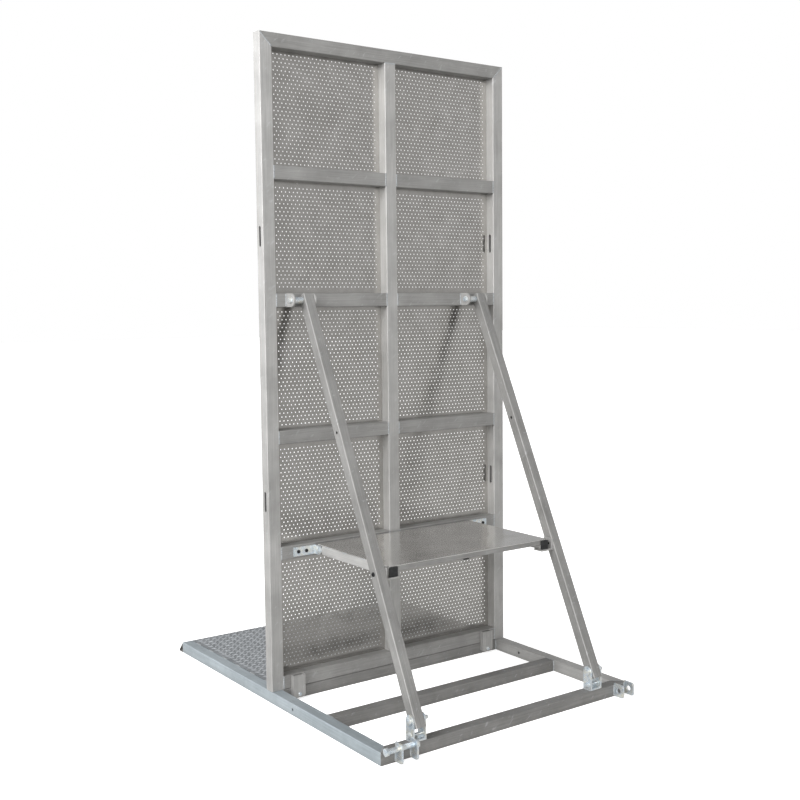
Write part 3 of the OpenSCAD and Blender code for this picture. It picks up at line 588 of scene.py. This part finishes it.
CUT_PLATES = ("clevis_left", "clevis_right", "coupling_lugs_left", "coupling_lugs_right",
              "strut_lugs_left", "strut_lugs_right", "panel_stop_left", "panel_stop_right", "ledge_left",
              "ledge_right", "step_hinge_brackets", "base_hinge_leaves", "panel_hinge_leaves",
              "step_end_plugs", "step_plate", "base_front_nose")
for node in CUT_PLATES:
    softened(node)


# Fasteners
ROUND_SIDES = 28
THREAD_STEPS = 12


def drum(bm, place, sides, radius, low, high, chamfer):
    """Round bar or hexagon between two heights of a place, with both its rims eased."""
    middle = place @ Matrix.Translation((0, 0, (low + high) / 2))
    made = bmesh.ops.create_cone(bm, cap_ends=True, segments=sides, radius1=radius, radius2=radius,
                                 depth=high - low, matrix=middle)["verts"]
    ends = [face for face in faces_of(made) if len(face.verts) == sides]
    rims = list(dict.fromkeys(edge for face in ends for edge in face.edges))
    break_edges(bm, rims, chamfer)


def thread(bm, place, radius, low, high):
    """Threaded end of a bar: a core with a V ridge wound round it."""
    pitch = 0.28 * radius
    depth = 0.6 * pitch
    drum(bm, place, ROUND_SIDES, radius - 0.8 * depth, low, high, 0.1 * radius)
    ridge = [bm.verts.new(place @ Vector((radius - inset, 0, low + rise)))
             for inset, rise in ((depth, 0), (0, pitch / 2), (depth, pitch))]
    edges = [bm.edges.new(pair) for pair in zip(ridge, ridge[1:])]
    axis = place.to_3x3() @ Vector((0, 0, 1))
    turns = int((high - low) / pitch) - 1
    bmesh.ops.spin(bm, geom=ridge + edges, cent=place.translation, axis=axis,
                   dvec=axis * (pitch / THREAD_STEPS), angle=2 * math.pi * turns,
                   steps=THREAD_STEPS * turns)


def hex_end(bm, place, radius, low, high, washer_t):
    """Hexagon head or nut on a washer, standing on a height of its place."""
    drum(bm, place, ROUND_SIDES, 1.12 * radius, low, low + washer_t, 0.3 * washer_t)
    drum(bm, place, 6, radius, low + washer_t, high, 0.09 * radius)


def screw_head():
    """Template of a domed screw head with a hexagon socket, of unit radius and unit height."""
    bm = bmesh.new()
    outline = ((1.0, 0.0), (1.0, 0.35), (0.9, 0.75), (0.62, 1.0))
    points = [bm.verts.new((radius, 0, height)) for radius, height in outline]
    edges = [bm.edges.new(pair) for pair in zip(points, points[1:])]
    bmesh.ops.spin(bm, geom=points + edges, cent=(0, 0, 0), axis=(0, 0, 1), dvec=(0, 0, 0),
                   angle=2 * math.pi, steps=24, use_merge=True)
    crown = [edge for edge in bm.edges if all(vert.co.z > 0.99 for vert in edge.verts)]
    top = Matrix.Translation((0, 0, 1))
    lip = bmesh.ops.create_circle(bm, segments=6, radius=0.46, matrix=top)["verts"]
    lip_edges = edges_of(lip)
    bmesh.ops.bridge_loops(bm, edges=crown + lip_edges)
    socket = bmesh.ops.extrude_edge_only(bm, edges=lip_edges)["geom"]
    floor_verts = [part for part in socket if isinstance(part, bmesh.types.BMVert)]
    bmesh.ops.translate(bm, verts=floor_verts, vec=(0, 0, -0.7))
    bmesh.ops.contextual_create(bm, geom=floor_verts)
    foot = [edge for edge in bm.edges if edge.is_boundary]
    bmesh.ops.edgeloop_fill(bm, edges=foot)
    bmesh.ops.recalc_face_normals(bm, faces=bm.faces)
    return template(bm, "screw_head")


SCREW_HEAD = screw_head()


def socket_screw(bm, point, axis, head_r, head_t, shank_r, shank_len):
    """Screw whose head stands on a face at a point, with its shank let into the face."""
    place = stood(point, axis)
    stamp(bm, SCREW_HEAD, place @ Matrix.Diagonal((head_r, head_r, head_t, 1)))
    drum(bm, place, ROUND_SIDES, shank_r, -shank_len, 0.2 * head_t, 0.1 * shank_r)


def bolt_through(bm, point, radius, left, right, head_r, head_t):
    """Bolt along X through a pair of ears, with a hexagon head on one side and a nut on the other."""
    place = stood(point, (1, 0, 0))
    drum(bm, place, ROUND_SIDES, radius, -left, right, 0.1 * radius)
    hex_end(bm, place, head_r, right, right + head_t, 0.2 * head_t)
    hex_end(bm, place @ Matrix.Rotation(math.pi, 4, "X"), head_r, left, left + head_t, 0.2 * head_t)


def fasteners(bm, name, material, node):
    """Finishes a mesh of fasteners that stands in for a node."""
    finish_piece(bm, name, material, node, stands_in=True, smooth=35)


def clevis_bolts():
    """Bolts with nuts under the struts' feet."""
    bm = bmesh.new()
    for side in (-1, 1):
        point = (side * STRUT_X, FOOT_Y, CLEVIS_BOLT_Z)
        bolt_through(bm, point, radius=5, left=EAR_OUTER, right=EAR_OUTER, head_r=9, head_t=6)
    fasteners(bm, "clevis_bolts_and_nuts", zinc, "clevis_tie_bolts")


def strut_bolts():
    """Bolts on which the struts turn, with a shoulder between each strut and its left lug."""
    bm = bmesh.new()
    for side in (-1, 1):
        point = (side * STRUT_X, PIVOT_Y, PIVOT_Z)
        bolt_through(bm, point, radius=6, left=LEFT_LUG_OUTER, right=EAR_OUTER, head_r=10, head_t=6)
        drum(bm, stood(point, (1, 0, 0)), ROUND_SIDES, radius=11, low=-LEFT_LUG_INNER, high=-EAR_INNER,
             chamfer=0.8)
    fasteners(bm, "strut_bolts_and_nuts", zinc, "strut_pivot_bolts")


def stop_screws():
    """Screws that hold the stop brackets on the hinge rail."""
    bm = bmesh.new()
    for side in (-1, 1):
        point = (side * STOP_X, STOP_REAR, RAIL / 2)
        socket_screw(bm, point, (0, -1, 0), head_r=7, head_t=5, shank_r=4, shank_len=20)
    fasteners(bm, "stop_screws", zinc, "stop_bolts")


def bracket_screws():
    """Screws that hold the step's brackets on the crossbar."""
    bm = bmesh.new()
    for side in (-1, 1):
        for share in BRACKET_SCREW_SHARES:
            x = STEP_END + BRACKET_GAP + BRACKET_LENGTH * share
            point = (side * x, PANEL_REAR - BRACKET_T, STEP_HINGE_Z)
            socket_screw(bm, point, (0, -1, 0), head_r=6, head_t=4, shank_r=4, shank_len=8)
    fasteners(bm, "bracket_screws", black_screw, "step_bracket_bolts")


def ledge_screw(side, node):
    """Screw through a strut into the ledge on its inner face, level with the step."""
    bm = bmesh.new()
    rear = PIVOT_Y - (PIVOT_Z - STEP_HINGE_Z) * math.tan(STRUT_LEAN)
    point = (side * (STRUT_X + STRUT_SIDE), rear, STEP_HINGE_Z)
    ledge_t = 5
    through = 2 * STRUT_SIDE + ledge_t
    socket_screw(bm, point, (side, 0, 0), head_r=7, head_t=4, shank_r=4, shank_len=through)
    fasteners(bm, f"{node}_screw", black_screw, node)


def step_pivots():
    """Hexagon bolts on which the step folds, let into the ends of its front tube."""
    bm = bmesh.new()
    ear_face = BRACKET_GAP + BRACKET_T
    let_in = 25
    for side in (-1, 1):
        place = stood((side * (STEP_END + ear_face), STEP_HINGE_Y, STEP_HINGE_Z), (side, 0, 0))
        drum(bm, place, ROUND_SIDES, radius=5, low=-ear_face - let_in, high=0, chamfer=0.5)
        hex_end(bm, place, radius=8, low=0, high=4, washer_t=0.8)
    fasteners(bm, "step_pivots", zinc, "step_pivot_bolts")


def coupling_bolt():
    """Long hexagon bolt with a nut, kept in the left coupling lugs."""
    bm = bmesh.new()
    place = stood(COUPLING_BOLT_AT, (1, 0, 0))
    under_head = -68
    thread_start = -6
    radius = 8
    head_r = 13
    head_t = 9
    lug_face = 30
    drum(bm, place, ROUND_SIDES, radius, low=under_head, high=thread_start, chamfer=0.8)
    thread(bm, place, radius, low=thread_start, high=lug_face + 12)
    hex_end(bm, place, head_r, low=lug_face, high=lug_face + head_t, washer_t=1.6)
    head = place @ Matrix.Translation((0, 0, under_head)) @ Matrix.Rotation(math.pi, 4, "X")
    drum(bm, head, 6, head_r, low=0, high=head_t, chamfer=1.2)
    fasteners(bm, "coupling_bolt_and_nut", zinc, "coupling_bolt")


def hinge_pin_rods():
    """Riveted pins of the panel hinges, with domed ends."""
    bm = bmesh.new()
    for x in HINGE_XS:
        place = stood((x, HINGE_Y, HINGE_Z), (1, 0, 0))
        drum(bm, place, ROUND_SIDES, radius=4, low=-HINGE_HALF, high=HINGE_HALF, chamfer=0.4)
        for turn in (0, math.pi):
            end = place @ Matrix.Rotation(turn, 4, "X")
            drum(bm, end, ROUND_SIDES, radius=6, low=HINGE_HALF, high=HINGE_HALF + 3, chamfer=1.2)
    fasteners(bm, "hinge_pin_rods", zinc, "hinge_pins")


def pull_pin(side, node):
    """Foot pin with a flat round head and a rounded tail."""
    bm = bmesh.new()
    place = stood((side * STRUT_X, FOOT_Y, FOOT_Z), (1, 0, 0))
    head = -EAR_OUTER - 0.3
    tail = EAR_OUTER + 17
    drum(bm, place, ROUND_SIDES, radius=13, low=head - 5, high=head, chamfer=1.2)
    drum(bm, place, ROUND_SIDES, radius=6, low=head, high=tail, chamfer=2.0)
    fasteners(bm, f"{node}_pull", zinc, node)


clevis_bolts()
strut_bolts()
stop_screws()
bracket_screws()
ledge_screw(-1, "ledge_bolt_left")
ledge_screw(1, "ledge_bolt_right")
step_pivots()
coupling_bolt()
hinge_pin_rods()
pull_pin(-1, "foot_pin_left")
pull_pin(1, "foot_pin_right")

# Weld beads: rows of overlapping ripples, half sunk in the tubes that they join
RIPPLE = 2.2
BEAD_INSET = 3
FILLET_OUT = 1
STITCH_PITCH = 105


def bead(bm, start, end, half):
    """Weld from one point to another, with the half sizes of one ripple along X, Y and Z."""
    run = Vector(end) - Vector(start)
    count = max(2, round(run.length / RIPPLE))
    place = Matrix.Translation(start) @ Matrix.Diagonal((*half, 1))
    ripple = bmesh.ops.create_uvsphere(bm, u_segments=8, v_segments=5, radius=1, matrix=place)["verts"]
    repeat(bm, all_of(ripple), run / count, count)


def upright_bead(bm, x, y, low, high, half):
    """Weld that runs up from one height to another."""
    bead(bm, (x, y, low), (x, y, high), half)


def panel_welds():
    """Flush beads on both faces of the panel where its tubes meet, and fillets at the struts' lugs."""
    bm = bmesh.new()
    flush = (2.6, 0.7, 2.0)
    half_bar = BAR_HALF - BEAD_INSET
    inner_foot = PANEL_FOOT + FRAME_FACE
    inner_top = PANEL_TOP - FRAME_FACE
    for y in (PANEL_REAR, PANEL_FRONT):
        for side in (-1, 1):
            for height in BAR_HEIGHTS:
                for x in (STILE_INNER, MULLION_SIDE):
                    upright_bead(bm, side * x, y, height - half_bar, height + half_bar, flush)
            upright_bead(bm, side * STILE_INNER, y, PANEL_FOOT + BEAD_INSET, inner_foot - BEAD_INSET,
                         flush)
            inner = (side * (STILE_INNER + BEAD_INSET), y, inner_top + BEAD_INSET)
            outer = (side * (HALF_WIDTH - BEAD_INSET), y, PANEL_TOP - BEAD_INSET)
            bead(bm, inner, outer, (2.2, 0.6, 2.2))
        half_mullion = MULLION_SIDE - BEAD_INSET
        for z in (inner_top, inner_foot):
            bead(bm, (-half_mullion, y, z), (half_mullion, y, z), (2.0, 0.7, 2.6))
    half_lug = 18
    for side in (-1, 1):
        for lug_face in (-LEFT_LUG_OUTER - FILLET_OUT, EAR_OUTER + FILLET_OUT):
            upright_bead(bm, side * STRUT_X + lug_face, PANEL_REAR - FILLET_OUT, PIVOT_Z - half_lug,
                         PIVOT_Z + half_lug, (2.4, 2.4, 2.0))
    finish_piece(bm, "panel_welds", weld, "mullion", smooth=60)


def base_welds():
    """Beads on the base: its mitred corners, its cross rails, the clevises, the coupling lugs and the
    tread plate."""
    bm = bmesh.new()
    half_ear = 15
    tread_stitches = 6
    first_stitch = 70
    stitch_length = 32
    for side in (-1, 1):
        inner = side * RAIL_INNER
        mitre = (inner + side * BEAD_INSET, BASE_REAR + RAIL - BEAD_INSET, RAIL)
        corner = (side * (HALF_WIDTH - BEAD_INSET), BASE_REAR + BEAD_INSET, RAIL)
        bead(bm, mitre, corner, (2.2, 2.2, 0.6))
        for rear in (MIDDLE_RAIL_REAR, PANEL_REAR):
            front = rear + RAIL - BEAD_INSET
            bead(bm, (inner, rear + BEAD_INSET, RAIL), (inner, front, RAIL), (2.6, 2.0, 0.7))
            upright_bead(bm, inner - side * FILLET_OUT, rear - FILLET_OUT, BEAD_INSET, RAIL - BEAD_INSET,
                         (2.4, 2.4, 2.0))
        for ear in (-1, 1):
            x = side * STRUT_X + ear * (EAR_OUTER + FILLET_OUT)
            z = RAIL + FILLET_OUT
            bead(bm, (x, FOOT_Y - half_ear, z), (x, FOOT_Y + half_ear, z), (2.4, 2.0, 2.4))
        for stitch in range(tread_stitches):
            y = first_stitch + stitch * STITCH_PITCH
            bead(bm, (inner, y, RAIL), (inner, y + stitch_length, RAIL), (3.0, 2.0, 0.9))
    lug_foot = 7
    for lug in LEFT_COUPLING_XS + RIGHT_COUPLING_XS:
        for ear in (-1, 1):
            x = lug + ear * (COUPLING_SIDE + FILLET_OUT)
            upright_bead(bm, x, BASE_REAR - FILLET_OUT, lug_foot, RAIL - BEAD_INSET, (2.0, 2.0, 2.0))
    finish_piece(bm, "base_welds", weld, "base_rear_rail", smooth=60)


def step_welds():
    """Beads under the step where its tubes meet, and along the plate's sides."""
    bm = bmesh.new()
    half_tube = STEP_TUBE / 2
    under = STEP_HINGE_Z - half_tube
    top = STEP_HINGE_Z + half_tube
    front = STEP_HINGE_Y - half_tube
    half_run = half_tube - BEAD_INSET
    for x in (-STEP_END + half_tube, 0, STEP_END - half_tube):
        bead(bm, (x - half_run, front, under), (x + half_run, front, under), (2.0, 2.6, 0.7))
    plate_stitches = 4
    first_stitch = -420
    stitch_length = 26
    for side in (-1, 1):
        x = side * STEP_END
        for stitch in range(plate_stitches):
            y = first_stitch + stitch * STITCH_PITCH
            bead(bm, (x, y, top), (x, y + stitch_length, top), (0.7, 2.0, 1.8))
    finish_piece(bm, "step_welds", weld, "step_cross_tubes", smooth=60)


panel_welds()
base_welds()
step_welds()

# Camera where the photograph was taken from, looking at the barrier from behind and from its left
CAMERA_AT = (-2.2255, -3.16405, 1.2985)
YAW = math.radians(35.62)
PITCH = math.radians(4.83)
ROLL = math.radians(-0.59)
ahead_x = math.sin(YAW) * math.cos(PITCH)
ahead_y = math.cos(YAW) * math.cos(PITCH)
forward = Vector((ahead_x, ahead_y, -math.sin(PITCH)))
level = Vector((math.cos(YAW), -math.sin(YAW), 0))
upward = level.cross(forward)
right_hand = math.cos(ROLL) * level + math.sin(ROLL) * upward
overhead = math.cos(ROLL) * upward - math.sin(ROLL) * level
lens_data = bpy.data.cameras.new("camera")
lens_data.lens = 50.17
lens_data.sensor_width = 36
lens_data.clip_start = 0.05
lens_data.clip_end = 200
camera = bpy.data.objects.new("camera", lens_data)
turned = Matrix((right_hand, overhead, -forward)).transposed().to_4x4()
camera.matrix_world = Matrix.Translation(CAMERA_AT) @ turned
scene.collection.objects.link(camera)
scene.camera = camera

# Plain pale floor, white to the eye with a soft shadow under the barrier, and greyer in the light that
# it throws back
FLOOR_HALF = 40
FLOOR_GLOW = 0.35
FLOOR_GLOW_SEEN = 0.30
floor_mesh = bmesh.new()
bmesh.ops.create_grid(floor_mesh, x_segments=1, y_segments=1, size=FLOOR_HALF)
floor_data = bpy.data.meshes.new("floor")
floor_mesh.to_mesh(floor_data)
floor_mesh.free()
floor = bpy.data.objects.new("floor", floor_data)
scene.collection.objects.link(floor)
floor_paint = bpy.data.materials.new("matt_floor_paint")
floor_paint.use_nodes = True
paint_tree = floor_paint.node_tree
paint_shader = paint_tree.nodes["Principled BSDF"]
seen = add(paint_tree, "ShaderNodeLightPath").outputs["Is Camera Ray"]
floor_glow = maths(paint_tree, "MULTIPLY_ADD", seen, FLOOR_GLOW_SEEN, FLOOR_GLOW)
floor_tone = mixed(paint_tree, seen, linear("#8e8e8c"), linear("#f4f4f4"))
link(paint_tree, paint_shader, {"Base Color": floor_tone, "Emission Strength": floor_glow})
paint_shader.inputs["Emission Color"].default_value = linear("#ffffff")
paint_shader.inputs["Roughness"].default_value = 0.9
paint_shader.inputs["Specular IOR Level"].default_value = 0.1
floor_data.materials.append(floor_paint)

# Soft studio light: a broad window at the left behind the camera, a smaller one ahead at the left, and
# dim walls and ceiling. Each has a direction and a strength.
WINDOWS = (
    ((-0.70, -0.70, 0.15), 4.6),
    ((-0.75, 0.65, 0.15), 1.6),
    ((0.70, -0.70, 0.15), 0.6),
    ((0.30, 0.95, 0.15), 0.4),
    ((0.98, 0.10, 0.15), 0.3),
    ((0.20, 0.30, 0.93), 0.4),
)
WINDOW_FALLOFF = 4.0
scene.view_settings.view_transform = "Standard"
world = bpy.data.worlds.new("studio")
scene.world = world
world.use_nodes = True
room = world.node_tree
way = add(room, "ShaderNodeTexCoord").outputs["Generated"]
glow = 0.0
for direction, strength in WINDOWS:
    facing = add(room, "ShaderNodeVectorMath", {0: way, 1: direction}, operation="DOT_PRODUCT")
    ahead = maths(room, "MAXIMUM", facing.outputs["Value"], 0.0)
    pool = maths(room, "POWER", ahead, WINDOW_FALLOFF)
    glow = maths(room, "MULTIPLY_ADD", pool, strength, glow)
white = linear("#ffffff")
lit = add(room, "ShaderNodeBackground", {"Color": white, "Strength": glow}).outputs["Background"]
plain = add(room, "ShaderNodeBackground", {"Color": white, "Strength": 1.0}).outputs["Background"]
direct = add(room, "ShaderNodeLightPath").outputs["Is Camera Ray"]
shown = add(room, "ShaderNodeMixShader", {0: direct, 1: lit, 2: plain}).outputs["Shader"]
room.links.new(shown, room.nodes["World Output"].inputs["Surface"])


def soft_box(name, place, aim, size, watts, colour):
    """Square area light at a place, turned towards a point, which no shiny face mirrors."""
    data = bpy.data.lights.new(name, "AREA")
    data.shape = "SQUARE"
    data.size = size
    data.energy = watts
    data.color = linear(colour)[:3]
    lamp = bpy.data.objects.new(name, data)
    lamp.location = place
    lamp.rotation_euler = (Vector(aim) - Vector(place)).to_track_quat("-Z", "Y").to_euler()
    lamp.visible_glossy = False
    scene.collection.objects.link(lamp)


soft_box("key_light", place=(-2.7, -0.55, 2.7), aim=(0, 0, 1.7), size=1.4, watts=125, colour="#fcfdff")
